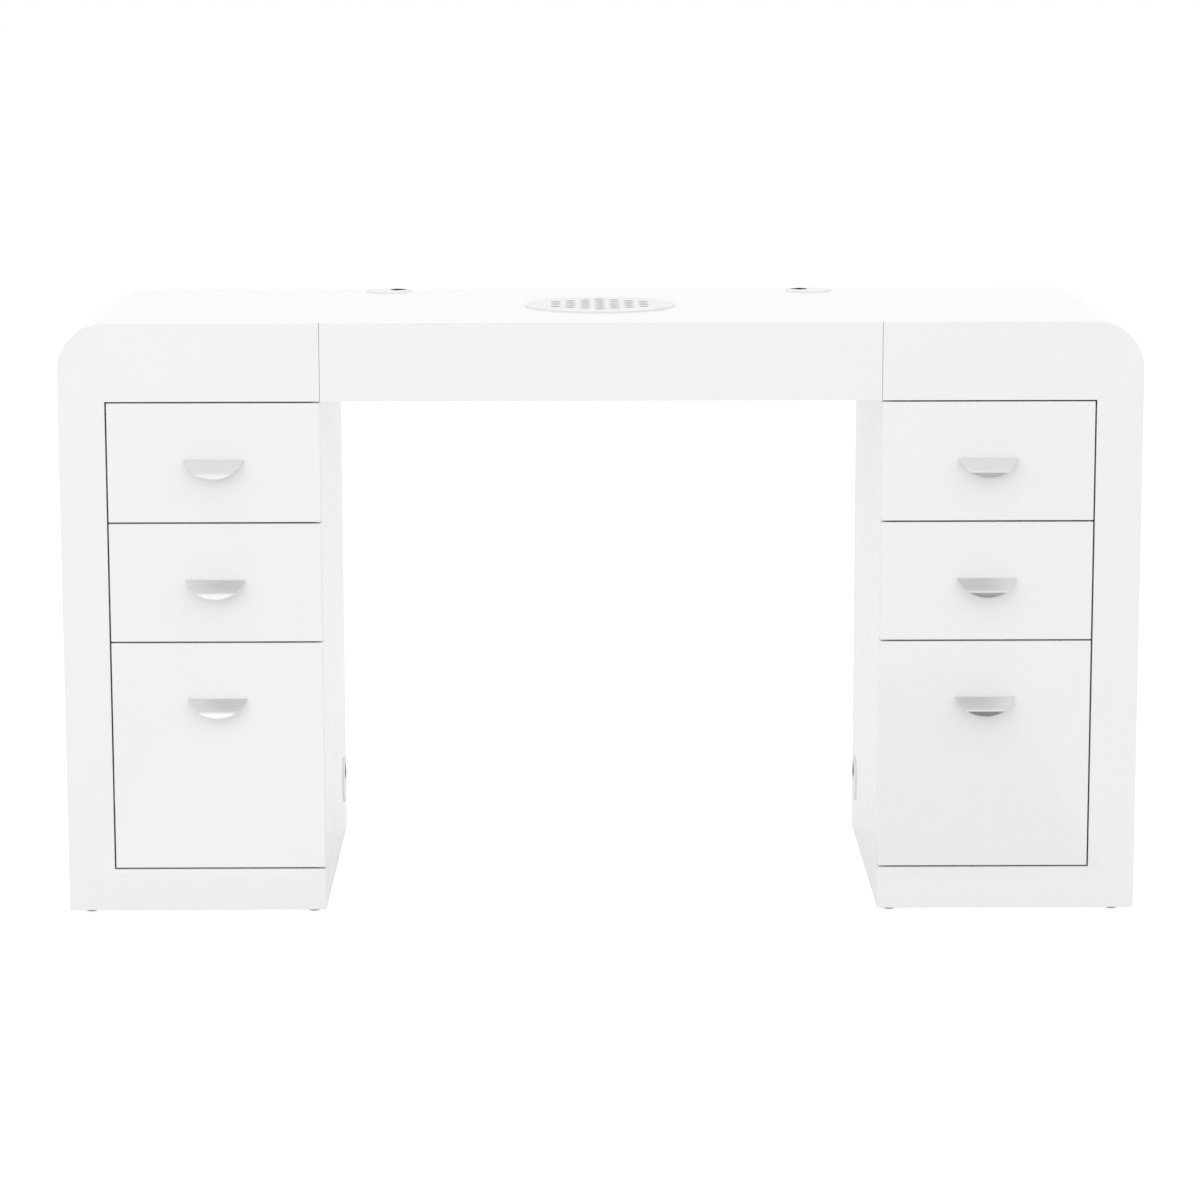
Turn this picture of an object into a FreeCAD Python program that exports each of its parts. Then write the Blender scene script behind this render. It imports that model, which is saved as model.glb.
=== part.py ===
import FreeCAD, Part
import math
import os

# Manicure table: two three-drawer pedestals joined by a bridge over the knee space.
# The bridge carries a round vent with a dust fan below it. Millimetres, +Z up.
# The origin is on the floor, at the centre of the overall width and depth (pulls included).
# -Y is the side with the drawers; the two pedestals are mirror images across X = 0.

V = FreeCAD.Vector
X_AXIS, Y_AXIS, Z_AXIS = V(1, 0, 0), V(0, 1, 0), V(0, 0, 1)
ORIGIN = V(0, 0, 0)
CUT = 1.0          # how far a cutting tool runs past the face it leaves through

# Overall size
WIDTH = 1400.0
BODY_DEPTH = 480.0
PULL_DEPTH = 20.0
TOP_Z = 780.0
FOOT_HEIGHT = 6.0

# Boards
BOARD = 18.0       # tops, skins, aprons and drawer fronts
PANEL = 12.0       # knee panels, liners, back panels and drawer boxes
BACK_INSET = 3.0

# Pedestals
PEDESTAL_WIDTH = 337.0
STILE_WIDTH = 60.0
RAIL_HEIGHT = 101.0
PLINTH_HEIGHT = 55.0
CORNER_RADIUS = 62.0
GAP = 2.0          # shadow gap round every drawer front
GROOVE_WIDTH = 0.5 # shadow groove in front, between the bridge and each pedestal
GROOVE_DEPTH = 10.0

# Drawers: front height, box height and slide height above the box's lower edge
DRAWERS = {
    "upper": {"front": 155.0, "box": 110.0, "slide": 45.0},
    "middle": {"front": 155.0, "box": 110.0, "slide": 45.0},
    "lower": {"front": 300.0, "box": 230.0, "slide": 90.0},
}
BOX_LENGTH = 380.0
BOX_LIFT = 14.0    # lower edge of the box above the lower edge of its front
BOTTOM_LIFT = 6.0
BOTTOM_THICKNESS = 4.0

# Ball-bearing slides, 350 mm full extension
SLIDE_LENGTH = 350.0
SLIDE_WIDTH = 12.7
SLIDE_STEEL = 1.2
SLIDE_START = 2.0  # behind the back face of the drawer front
# each member is a C section: its web's outer face and its open edge, measured from the wall
SLIDE_MEMBERS = {
    "cabinet": {"web": 0.0, "reach": 10.2, "half_height": 22.5},
    "middle": {"web": 1.9, "reach": 10.9, "half_height": 19.5},
    "drawer": {"web": SLIDE_WIDTH, "reach": 5.0, "half_height": 14.0},
}

# Half-moon pulls: a bent strip with a sloping top and a lip, cut to a circle segment
PULL_LENGTH = 78.0
PULL_DROP = 75.0   # from the middle of the gap above the front to the top of the pull
PULL_WALL = 2.2
PULL_LEDGE = 2.0
PULL_SLOPE_RUN = 17.0
PULL_SLOPE_FALL = 13.5
PULL_FALL = 22.5
PULL_LIP_LEAN = 10.0      # degrees that the lip leans back towards the drawer
PULL_SCREW_SPACING = 48.0
PULL_SCREW_DROP = 8.0
PULL_BOSS_RADIUS = 3.5
PULL_THREAD_DEPTH = 7.5
SCREW_RADIUS = 2.0
SCREW_ENGAGEMENT = 7.0
SCREW_HEAD_RADIUS = 4.0
SCREW_HEAD_HEIGHT = 2.5
SCREW_CLEARANCE = 0.3
THREAD_CLEARANCE = 0.05

# Cable grommets
TOP_GROMMET_X = 292.0
TOP_GROMMET_INSET = 42.0  # centre to the back edge
KNEE_GROMMET_INSET = 47.0
KNEE_GROMMET_Z = 86.0
GROMMET_SLEEVE_RADIUS = 30.0
GROMMET_FLANGE_RADIUS = 32.0
GROMMET_FLANGE_HEIGHT = 1.5
GROMMET_BORE_RADIUS = 27.8
GROMMET_SHELF_RADIUS = 25.5
GROMMET_RECESS = 1.5      # cap seat below the panel's surface
GROMMET_SHELF_THICKNESS = 1.5
GROMMET_HOLE_CLEARANCE = 0.2
GROMMET_SLEEVE_STOP = 2.0 # from the sleeve's end to the far face of its board
CAP_CLEARANCE = 0.2
CAP_LIFT = 0.1            # above its seat
CAP_THICKNESS = 2.8
CAP_NOTCH_RADIUS = 10.5
CAP_NOTCH_OFFSET = 15.0
TOP_NOTCH_ANGLE = 140.0   # right-hand top cap: the notch points inwards and back
KNEE_NOTCH_ANGLE = 35.0   # knee caps: the notch points back and this much upwards

# Vent, dust filter and fan
VENT_HOLE_RADIUS = 95.0
GRILLE_RADIUS = 101.0
GRILLE_THICKNESS = 2.0
GRILLE_SKIRT_RADIUS = 94.0
GRILLE_SKIRT_WALL = 3.0
GRILLE_SKIRT_DEPTH = 12.0
GRILLE_COLUMN_PITCH = 19.6
GRILLE_HOLE_RADIUS = 7.2
GRILLE_RINGS = 3          # rings of holes round the middle one
FAN_WALL = 2.5
FAN_LIP_WIDTH = 17.0      # glued under the bridge top, outside the vent's hole
FAN_LIP_THICKNESS = 3.0
FAN_CONE_RADIUS = 80.0
FAN_CONE_HEIGHT = 16.5
FAN_BARREL_RADIUS = 54.0
FAN_STRUT_WIDTH = 6.0
FAN_STRUT_HEIGHT = 4.0
FAN_BOSS_WALL = 2.0
FILTER_RADIUS = 89.0
FILTER_THICKNESS = 8.0
FILTER_DROP = 3.0         # from the underside of the bridge top to the filter
FILTER_CLEARANCE = 0.5
MOTOR_RADIUS = 20.0
MOTOR_HEIGHT = 26.0
SHAFT_RADIUS = 2.5
SHAFT_LENGTH = 14.0
SHAFT_CLEARANCE = 0.05
HUB_RADIUS = 21.0
HUB_HEIGHT = 18.0
HUB_GAP = 1.0
BLADE_COUNT = 7
BLADE_TIP_RADIUS = 52.0
BLADE_CHORD = 22.0
BLADE_THICKNESS = 2.0
BLADE_PITCH = 35.0
BLADE_OVERLAP = 3.0       # into the hub, and past the tip before it is trimmed

# Feet and bridge bolts
FOOT_RADIUS = 8.0
FOOT_STUD_RADIUS = 4.0
FOOT_STUD_HEIGHT = 12.0
FOOT_OUTER_INSET = 26.0
FOOT_INNER_INSET = 17.0
FOOT_END_INSET = 24.0
BOLT_RADIUS = 4.0
BOLT_HEAD_RADIUS = 7.0
BOLT_HEAD_HEIGHT = 5.0
BOLT_CLEARANCE = 0.2
BOLT_Y = (-150.0, 150.0)

# Planes worked out from the sizes above, for the right-hand pedestal
FRONT_Y = PULL_DEPTH - (BODY_DEPTH + PULL_DEPTH) / 2
BACK_Y = FRONT_Y + BODY_DEPTH
FRAME_Y = FRONT_Y + BOARD
BACK_PANEL_Y = BACK_Y - BACK_INSET - PANEL
OUTER_X = WIDTH / 2
SEAM_X = OUTER_X - PEDESTAL_WIDTH
STILE_X = OUTER_X - STILE_WIDTH
SKIN_X = OUTER_X - BOARD
PANEL_X = SEAM_X + PANEL
BODY_Z = FOOT_HEIGHT
RAIL_Z = TOP_Z - RAIL_HEIGHT
SKIN_Z = TOP_Z - BOARD
CEILING_Z = RAIL_Z + PANEL
BASE_TOP_Z = BODY_Z + BOARD
PLINTH_Z = BODY_Z + PLINTH_HEIGHT
BOX_X0 = PANEL_X + SLIDE_WIDTH
BOX_X1 = STILE_X - SLIDE_WIDTH
FRONT_X1 = STILE_X - GAP
PULL_SLOPE = math.atan2(PULL_SLOPE_FALL, PULL_SLOPE_RUN)
PULL_BEND_RADIUS = (PULL_DEPTH - PULL_LEDGE - PULL_SLOPE_RUN) / (1 - math.sin(PULL_SLOPE))
BOX_BACK_Y = FRAME_Y + BOX_LENGTH
PULL_X = (SEAM_X + FRONT_X1) / 2
TOP_GROMMET_Y = BACK_Y - TOP_GROMMET_INSET
KNEE_GROMMET_Y = BACK_Y - KNEE_GROMMET_INSET
GRILLE_HOLE_PITCH = GRILLE_COLUMN_PITCH / math.cos(math.radians(30))
FILTER_Z = SKIN_Z - FILTER_DROP - FILTER_THICKNESS
CONE_TOP_Z = FILTER_Z - FAN_WALL
CONE_BOTTOM_Z = CONE_TOP_Z - FAN_CONE_HEIGHT
MOTOR_Z = CEILING_Z + FAN_STRUT_HEIGHT
HUB_Z = MOTOR_Z + MOTOR_HEIGHT + HUB_GAP
BOLT_Z = (CEILING_Z + SKIN_Z) / 2


def box(x0, x1, y0, y1, z0, z1):
    return Part.makeBox(x1 - x0, y1 - y0, z1 - z0, V(x0, y0, z0))


def rod(radius, start, length, axis):
    return Part.makeCylinder(radius, length, start, axis)


def mirrored(shape):
    """The same piece for the left-hand pedestal."""
    return shape.mirror(ORIGIN, X_AXIS)


def both_sides(solids):
    return solids + [mirrored(solid) for solid in solids]


def save(name, solids):
    for solid in solids:
        if not solid.isValid() or solid.Volume <= 0:
            raise ValueError("bad solid in " + name)
    shape = solids[0] if len(solids) == 1 else Part.makeCompound(solids)
    shape.exportStep("parts/" + name + ".step")


def drawer_levels():
    """Each drawer's front bottom and top, from the top of the pedestal down."""
    levels = {}
    top = RAIL_Z - GAP
    for name, sizes in DRAWERS.items():
        levels[name] = (top - sizes["front"], top)
        top -= sizes["front"] + GAP
    return levels


# ---------------------------------------------------------------- pedestals

def rounded_block(x1, z1, radius, x0, z0, y0, y1):
    """A block with its upper outer edge rounded."""
    knee = radius * (1 - math.sqrt(0.5))
    corner = Part.Arc(V(x1, y0, z1 - radius), V(x1 - knee, y0, z1 - knee), V(x1 - radius, y0, z1))
    edges = [
        Part.LineSegment(V(x0, y0, z0), V(x1, y0, z0)).toShape(),
        Part.LineSegment(V(x1, y0, z0), V(x1, y0, z1 - radius)).toShape(),
        corner.toShape(),
        Part.LineSegment(V(x1 - radius, y0, z1), V(x0, y0, z1)).toShape(),
        Part.LineSegment(V(x0, y0, z1), V(x0, y0, z0)).toShape(),
    ]
    return Part.Face(Part.Wire(edges)).extrude(V(0, y1 - y0, 0))


def shell():
    """Outer side and top in one bend, with the front frame round the drawers."""
    outside = rounded_block(OUTER_X, TOP_Z, CORNER_RADIUS, SEAM_X, BODY_Z, FRONT_Y, BACK_Y)
    hollow = rounded_block(SKIN_X, SKIN_Z, CORNER_RADIUS - BOARD, SEAM_X - CUT, BODY_Z - CUT,
                           FRAME_Y, BACK_Y + CUT)
    drawer_opening = box(SEAM_X - CUT, STILE_X, FRONT_Y - CUT, FRAME_Y + CUT, PLINTH_Z, RAIL_Z)
    return outside.cut(hollow).cut(drawer_opening)


def knee_panel():
    """Side of the knee space, notched behind the edges of the drawer fronts."""
    panel = box(SEAM_X, PANEL_X, FRAME_Y, BACK_Y, BODY_Z, SKIN_Z)
    notch = box(SEAM_X - CUT, PANEL_X + CUT, FRAME_Y - CUT, FRAME_Y + SLIDE_START, PLINTH_Z, RAIL_Z)
    grommet_hole = rod(GROMMET_SLEEVE_RADIUS + GROMMET_HOLE_CLEARANCE,
                       V(SEAM_X - CUT, KNEE_GROMMET_Y, KNEE_GROMMET_Z), PANEL + 2 * CUT, X_AXIS)
    panel = panel.cut(notch).cut(grommet_hole)
    for y in BOLT_Y:
        panel = panel.cut(rod(BOLT_RADIUS + BOLT_CLEARANCE, V(SEAM_X - CUT, y, BOLT_Z),
                              PANEL + 2 * CUT, X_AXIS))
    return panel


def foot_places():
    """Centres of the right-hand pedestal's four feet."""
    return [(x, y)
            for x in (OUTER_X - FOOT_OUTER_INSET, SEAM_X + FOOT_INNER_INSET)
            for y in (FRONT_Y + FOOT_END_INSET, BACK_Y - FOOT_END_INSET)]


def foot(x, y):
    pad = rod(FOOT_RADIUS, V(x, y, 0), FOOT_HEIGHT, Z_AXIS)
    stud = rod(FOOT_STUD_RADIUS, V(x, y, 0), FOOT_HEIGHT + FOOT_STUD_HEIGHT, Z_AXIS)
    return pad.fuse(stud).removeSplitter()


def base_panel():
    panel = box(PANEL_X, SKIN_X, FRAME_Y, BACK_Y - BACK_INSET, BODY_Z, BASE_TOP_Z)
    for x, y in foot_places():
        panel = panel.cut(rod(FOOT_STUD_RADIUS + THREAD_CLEARANCE, V(x, y, BODY_Z - CUT),
                              FOOT_STUD_HEIGHT + CUT, Z_AXIS))
    return panel


def back_panel():
    """Fits inside the shell, so its upper outer corner is rounded too."""
    return rounded_block(SKIN_X, SKIN_Z, CORNER_RADIUS - BOARD, PANEL_X, BASE_TOP_Z,
                         BACK_PANEL_Y, BACK_PANEL_Y + PANEL)


def bay_liners():
    """Side liner that carries the outer slides, and the ceiling over the drawers."""
    side = box(STILE_X, STILE_X + PANEL, FRAME_Y, BACK_PANEL_Y, BASE_TOP_Z, CEILING_Z)
    ceiling = box(PANEL_X, STILE_X, FRAME_Y, BACK_PANEL_Y, RAIL_Z, CEILING_Z)
    return [side, ceiling]


# ---------------------------------------------------------------- drawer slides

def channel(wall_x, into, web, reach, half_height, z):
    """One slide member: a C section. web and reach are its web's outer face and its open edge,
    both measured from the wall at wall_x in the direction into (+1 or -1)."""
    y0 = FRAME_Y + SLIDE_START
    y1 = y0 + SLIDE_LENGTH
    inward = 1 if reach > web else -1

    def strip(a, b, z0, z1):
        xs = sorted((wall_x + into * a, wall_x + into * b))
        return box(xs[0], xs[1], y0, y1, z0, z1)

    back = strip(web, web + inward * SLIDE_STEEL, z - half_height, z + half_height)
    upper = strip(web, reach, z + half_height - SLIDE_STEEL, z + half_height)
    lower = strip(web, reach, z - half_height, z - half_height + SLIDE_STEEL)
    return back.fuse([upper, lower]).removeSplitter()


def slide_pair(member, z):
    """The same member on both walls of the right-hand drawer bay."""
    sizes = SLIDE_MEMBERS[member]
    return [channel(PANEL_X, 1, z=z, **sizes), channel(STILE_X, -1, z=z, **sizes)]


# ---------------------------------------------------------------- drawers

def pull_screw_places(top):
    """Screw axes of a pull whose upper edge is at height top."""
    z = top - PULL_SCREW_DROP
    return [(PULL_X + offset, z) for offset in (-PULL_SCREW_SPACING / 2, PULL_SCREW_SPACING / 2)]


def drill_for_screws(solid, top, y0, y1):
    for x, z in pull_screw_places(top):
        solid = solid.cut(rod(SCREW_RADIUS + SCREW_CLEARANCE, V(x, y0 - CUT, z),
                              y1 - y0 + 2 * CUT, Y_AXIS))
    return solid


def drawer_front(bottom, top, pull_top):
    board = box(SEAM_X, FRONT_X1, FRONT_Y, FRAME_Y, bottom, top)
    return drill_for_screws(board, pull_top, FRONT_Y, FRAME_Y)


def drawer_box(bottom, height, pull_top):
    """Two sides, inner front, back and bottom of one drawer."""
    inner_x0, inner_x1 = BOX_X0 + PANEL, BOX_X1 - PANEL
    z1 = bottom + height
    sides = [box(x, x + PANEL, FRAME_Y, BOX_BACK_Y, bottom, z1) for x in (BOX_X0, inner_x1)]
    inner_front = box(inner_x0, inner_x1, FRAME_Y, FRAME_Y + PANEL, bottom, z1)
    inner_front = drill_for_screws(inner_front, pull_top, FRAME_Y, FRAME_Y + PANEL)
    back = box(inner_x0, inner_x1, BOX_BACK_Y - PANEL, BOX_BACK_Y, bottom, z1)
    floor = box(inner_x0, inner_x1, FRAME_Y + PANEL, BOX_BACK_Y - PANEL,
                bottom + BOTTOM_LIFT, bottom + BOTTOM_LIFT + BOTTOM_THICKNESS)
    return sides + [inner_front, back, floor]


def pull_section(top, wall, x, length):
    """The pull's section, thinned by wall, from the drawer front out to the lip."""
    low_z = top - PULL_FALL - (CUT if wall else 0)
    lean = math.radians(PULL_LIP_LEAN)
    bend_start = V(x, FRONT_Y - PULL_LEDGE - PULL_SLOPE_RUN, top - PULL_SLOPE_FALL)
    centre = bend_start + V(0, math.sin(PULL_SLOPE), -math.cos(PULL_SLOPE)) * PULL_BEND_RADIUS

    def on_bend(angle):
        """Point of the bend: 0 is straight up, 90 degrees is straight out from the drawer."""
        return centre + V(0, -math.sin(angle), math.cos(angle)) * (PULL_BEND_RADIUS - wall)

    last = math.pi / 2 + lean
    first, middle, end = on_bend(PULL_SLOPE), on_bend((PULL_SLOPE + last) / 2), on_bend(last)
    lip_end = end + V(0, math.sin(lean), -math.cos(lean)) * ((end.z - low_z) / math.cos(lean))
    if wall:
        run = FRONT_Y - first.y
        heel = [first + V(0, run, run * math.tan(PULL_SLOPE))]
    else:
        heel = [V(x, FRONT_Y, top), V(x, FRONT_Y - PULL_LEDGE, top)]
    before = heel + [first]
    after = [end, lip_end, V(x, FRONT_Y, low_z), heel[0]]
    edges = [Part.LineSegment(a, b).toShape() for a, b in zip(before, before[1:])]
    edges.append(Part.Arc(first, middle, end).toShape())
    edges += [Part.LineSegment(a, b).toShape() for a, b in zip(after, after[1:])]
    return Part.Face(Part.Wire(edges)).extrude(V(length, 0, 0))


def pull(top):
    """Half-moon pull with two threaded bosses behind its sloping top."""
    x0 = PULL_X - PULL_LENGTH / 2
    solid = pull_section(top, 0, x0, PULL_LENGTH)
    strip = solid.cut(pull_section(top, PULL_WALL, x0 - CUT, PULL_LENGTH + 2 * CUT))
    for x, z in pull_screw_places(top):
        boss = rod(PULL_BOSS_RADIUS, V(x, FRONT_Y, z), PULL_DEPTH, -Y_AXIS)
        strip = strip.fuse(boss.common(solid))
    radius = (PULL_LENGTH ** 2 / 4 + PULL_FALL ** 2) / (2 * PULL_FALL)
    moon = rod(radius, V(PULL_X, FRONT_Y - PULL_DEPTH - CUT, top - PULL_FALL + radius),
               PULL_DEPTH + 2 * CUT, Y_AXIS)
    strip = strip.common(moon)
    for x, z in pull_screw_places(top):
        strip = strip.cut(rod(SCREW_RADIUS + THREAD_CLEARANCE, V(x, FRONT_Y + CUT, z),
                              PULL_THREAD_DEPTH + CUT, -Y_AXIS))
    return strip.removeSplitter()


def pull_screws(pull_top):
    """Two screws from inside the drawer, through its inner front and front, into the pull."""
    head_y = FRAME_Y + PANEL
    screws = []
    for x, z in pull_screw_places(pull_top):
        shank = rod(SCREW_RADIUS, V(x, head_y, z), PANEL + BOARD + SCREW_ENGAGEMENT, -Y_AXIS)
        head = rod(SCREW_HEAD_RADIUS, V(x, head_y, z), SCREW_HEAD_HEIGHT, Y_AXIS)
        screws.append(shank.fuse(head).removeSplitter())
    return screws


def save_drawer(level, bottom, top):
    """All six nodes of one drawer, on both sides. Returns its cabinet slide members."""
    sizes = DRAWERS[level]
    box_bottom = bottom + BOX_LIFT
    pull_top = top + GAP / 2 - PULL_DROP
    slide_z = box_bottom + sizes["slide"]
    pieces = {
        "front": [drawer_front(bottom, top, pull_top)],
        "box": drawer_box(box_bottom, sizes["box"], pull_top),
        "pull": [pull(pull_top)],
        "pull_screws": pull_screws(pull_top),
        "slides": slide_pair("drawer", slide_z),
        "slide_middles": slide_pair("middle", slide_z),
    }
    for piece, solids in pieces.items():
        save("right_" + level + "_drawer_" + piece, solids)
        save("left_" + level + "_drawer_" + piece, [mirrored(solid) for solid in solids])
    return slide_pair("cabinet", slide_z)


# ---------------------------------------------------------------- cable grommets

def grommet_ring(sleeve_depth):
    """Flanged sleeve along +Z, with the panel's surface at Z = 0 and a shelf for the cap."""
    seat_z = -GROMMET_RECESS
    shelf_z = seat_z - GROMMET_SHELF_THICKNESS
    flange = rod(GROMMET_FLANGE_RADIUS, ORIGIN, GROMMET_FLANGE_HEIGHT, Z_AXIS)
    sleeve = rod(GROMMET_SLEEVE_RADIUS, V(0, 0, -sleeve_depth), sleeve_depth, Z_AXIS)
    seat = rod(GROMMET_BORE_RADIUS, V(0, 0, seat_z), GROMMET_RECESS + GROMMET_FLANGE_HEIGHT + CUT, Z_AXIS)
    through = rod(GROMMET_SHELF_RADIUS, V(0, 0, -sleeve_depth - CUT), sleeve_depth + 2 * CUT, Z_AXIS)
    below = rod(GROMMET_BORE_RADIUS, V(0, 0, -sleeve_depth - CUT), sleeve_depth + CUT + shelf_z, Z_AXIS)
    return flange.fuse(sleeve).removeSplitter().cut(seat).cut(through).cut(below)


def grommet_cap(notch_angle):
    """Turning cap with a U notch that runs out of its rim at notch_angle."""
    base_z = CAP_LIFT - GROMMET_RECESS
    cap = rod(GROMMET_BORE_RADIUS - CAP_CLEARANCE, V(0, 0, base_z), CAP_THICKNESS, Z_AXIS)
    height = CAP_THICKNESS + 2 * CUT
    round_end = rod(CAP_NOTCH_RADIUS, V(CAP_NOTCH_OFFSET, 0, base_z - CUT), height, Z_AXIS)
    mouth = box(CAP_NOTCH_OFFSET, GROMMET_BORE_RADIUS + CUT, -CAP_NOTCH_RADIUS, CAP_NOTCH_RADIUS,
                base_z - CUT, base_z - CUT + height)
    notch = round_end.fuse(mouth).removeSplitter()
    notch.rotate(ORIGIN, Z_AXIS, notch_angle)
    return cap.cut(notch)


def on_top(shape):
    """Stands a grommet piece in the right-hand hole of the bridge top."""
    shape.translate(V(TOP_GROMMET_X, TOP_GROMMET_Y, TOP_Z))
    return shape


def on_knee_panel(shape):
    """Turns a grommet piece to face -X, with its own +X along +Y, in the right-hand knee panel."""
    turn = FreeCAD.Matrix(0, 0, -1, SEAM_X,
                          1, 0, 0, KNEE_GROMMET_Y,
                          0, -1, 0, KNEE_GROMMET_Z,
                          0, 0, 0, 1)
    return shape.transformed(turn, copy=True)


# ---------------------------------------------------------------- bridge

def grooved(board):
    """Takes the shadow grooves beside the pedestals out of a front board."""
    for x in (-SEAM_X - CUT, SEAM_X - GROOVE_WIDTH):
        board = board.cut(box(x, x + GROOVE_WIDTH + CUT, FRONT_Y - CUT, FRONT_Y + GROOVE_DEPTH,
                              RAIL_Z - CUT, TOP_Z + CUT))
    return board


def bridge_top():
    top = grooved(box(-SEAM_X, SEAM_X, FRONT_Y, BACK_Y, SKIN_Z, TOP_Z))
    top = top.cut(rod(VENT_HOLE_RADIUS, V(0, 0, SKIN_Z - CUT), BOARD + 2 * CUT, Z_AXIS))
    for x in (-TOP_GROMMET_X, TOP_GROMMET_X):
        top = top.cut(rod(GROMMET_SLEEVE_RADIUS + GROMMET_HOLE_CLEARANCE,
                          V(x, TOP_GROMMET_Y, SKIN_Z - CUT), BOARD + 2 * CUT, Z_AXIS))
    return top


def bridge_aprons():
    """Front and back boards under the bridge top."""
    front, back = [box(-SEAM_X, SEAM_X, y, y + BOARD, RAIL_Z, SKIN_Z) for y in (FRONT_Y, BACK_Y - BOARD)]
    return [grooved(front), back]


def bridge_underside():
    board = box(-SEAM_X, SEAM_X, FRAME_Y, BACK_Y - BOARD, RAIL_Z, CEILING_Z)
    return board.cut(rod(FAN_BARREL_RADIUS, V(0, 0, RAIL_Z - CUT), PANEL + 2 * CUT, Z_AXIS))


def bridge_end_panel():
    end = box(SEAM_X - BOARD, SEAM_X, FRAME_Y, BACK_Y - BOARD, CEILING_Z, SKIN_Z)
    for y in BOLT_Y:
        end = end.cut(rod(BOLT_RADIUS + THREAD_CLEARANCE, V(SEAM_X - BOARD - CUT, y, BOLT_Z),
                          BOARD + 2 * CUT, X_AXIS))
    return end


def bridge_bolts():
    bolts = []
    for y in BOLT_Y:
        shank = rod(BOLT_RADIUS, V(SEAM_X - BOARD, y, BOLT_Z), BOARD + PANEL, X_AXIS)
        head = rod(BOLT_HEAD_RADIUS, V(PANEL_X, y, BOLT_Z), BOLT_HEAD_HEIGHT, X_AXIS)
        bolts.append(shank.fuse(head).removeSplitter())
    return bolts


# ---------------------------------------------------------------- vent and fan

def grille_hole_places():
    """Centres of the grille's holes: a honeycomb whose middle column is the longest."""
    places = []
    for column in range(-GRILLE_RINGS, GRILLE_RINGS + 1):
        count = 2 * GRILLE_RINGS + 1 - abs(column)
        for row in range(count):
            places.append((column * GRILLE_COLUMN_PITCH, (row - (count - 1) / 2) * GRILLE_HOLE_PITCH))
    return places


def vent_grille():
    """Round grille: a plate with round holes, and a skirt that centres it in the vent's hole."""
    plate = rod(GRILLE_RADIUS, V(0, 0, TOP_Z), GRILLE_THICKNESS, Z_AXIS)
    skirt = rod(GRILLE_SKIRT_RADIUS, V(0, 0, TOP_Z - GRILLE_SKIRT_DEPTH), GRILLE_SKIRT_DEPTH, Z_AXIS)
    inside = rod(GRILLE_SKIRT_RADIUS - GRILLE_SKIRT_WALL, V(0, 0, TOP_Z - GRILLE_SKIRT_DEPTH - CUT),
                 GRILLE_SKIRT_DEPTH + CUT, Z_AXIS)
    grille = plate.fuse(skirt).removeSplitter().cut(inside)
    holes = [rod(GRILLE_HOLE_RADIUS, V(x, y, TOP_Z - CUT), GRILLE_THICKNESS + 2 * CUT, Z_AXIS)
             for x, y in grille_hole_places()]
    return grille.cut(Part.makeCompound(holes))


def fan_housing():
    """Filter well, funnel and fan barrel in one turned shape, with four struts for the motor."""
    well = FILTER_RADIUS + FILTER_CLEARANCE
    barrel = FAN_BARREL_RADIUS
    lip = VENT_HOLE_RADIUS + FAN_LIP_WIDTH
    lip_z = SKIN_Z - FAN_LIP_THICKNESS
    inner = [(well, SKIN_Z), (well, FILTER_Z), (FAN_CONE_RADIUS, FILTER_Z), (FAN_CONE_RADIUS, CONE_TOP_Z),
             (barrel, CONE_BOTTOM_Z), (barrel, CEILING_Z)]
    outer = [(barrel + FAN_WALL, CEILING_Z), (barrel + FAN_WALL, CONE_BOTTOM_Z - FAN_WALL / 2),
             (FAN_CONE_RADIUS + FAN_WALL, CONE_TOP_Z - FAN_WALL), (well + FAN_WALL, CONE_TOP_Z),
             (well + FAN_WALL, lip_z), (lip, lip_z), (lip, SKIN_Z)]
    points = [V(r, 0, z) for r, z in inner + outer]
    section = Part.Face(Part.makePolygon(points + points[:1]))
    housing = section.revolve(ORIGIN, Z_AXIS, 360)
    half = FAN_STRUT_WIDTH / 2
    reach = FAN_BARREL_RADIUS + FAN_WALL / 2
    struts = [box(-reach, reach, -half, half, CEILING_Z, MOTOR_Z),
              box(-half, half, -reach, reach, CEILING_Z, MOTOR_Z),
              rod(MOTOR_RADIUS + FAN_BOSS_WALL, V(0, 0, CEILING_Z), FAN_STRUT_HEIGHT, Z_AXIS)]
    return housing.fuse(struts).removeSplitter()


def fan_motor():
    can = rod(MOTOR_RADIUS, V(0, 0, MOTOR_Z), MOTOR_HEIGHT, Z_AXIS)
    shaft = rod(SHAFT_RADIUS, V(0, 0, MOTOR_Z), MOTOR_HEIGHT + SHAFT_LENGTH, Z_AXIS)
    return can.fuse(shaft).removeSplitter()


def fan_impeller():
    hub = rod(HUB_RADIUS, V(0, 0, HUB_Z), HUB_HEIGHT, Z_AXIS)
    blades = []
    for index in range(BLADE_COUNT):
        blade = box(HUB_RADIUS - BLADE_OVERLAP, BLADE_TIP_RADIUS + BLADE_OVERLAP,
                    -BLADE_CHORD / 2, BLADE_CHORD / 2, -BLADE_THICKNESS / 2, BLADE_THICKNESS / 2)
        blade.rotate(ORIGIN, X_AXIS, BLADE_PITCH)
        blade.translate(V(0, 0, HUB_Z + HUB_HEIGHT / 2))
        blade.rotate(ORIGIN, Z_AXIS, 360.0 * index / BLADE_COUNT)
        blades.append(blade)
    envelope = rod(BLADE_TIP_RADIUS, V(0, 0, HUB_Z), HUB_HEIGHT, Z_AXIS)
    wheel = hub.fuse(blades).common(envelope)
    bore = rod(SHAFT_RADIUS + SHAFT_CLEARANCE, V(0, 0, HUB_Z - CUT), SHAFT_LENGTH + CUT, Z_AXIS)
    return wheel.cut(bore).removeSplitter()


def dust_filter():
    return rod(FILTER_RADIUS, V(0, 0, FILTER_Z), FILTER_THICKNESS, Z_AXIS)


# ---------------------------------------------------------------- the table

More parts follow.
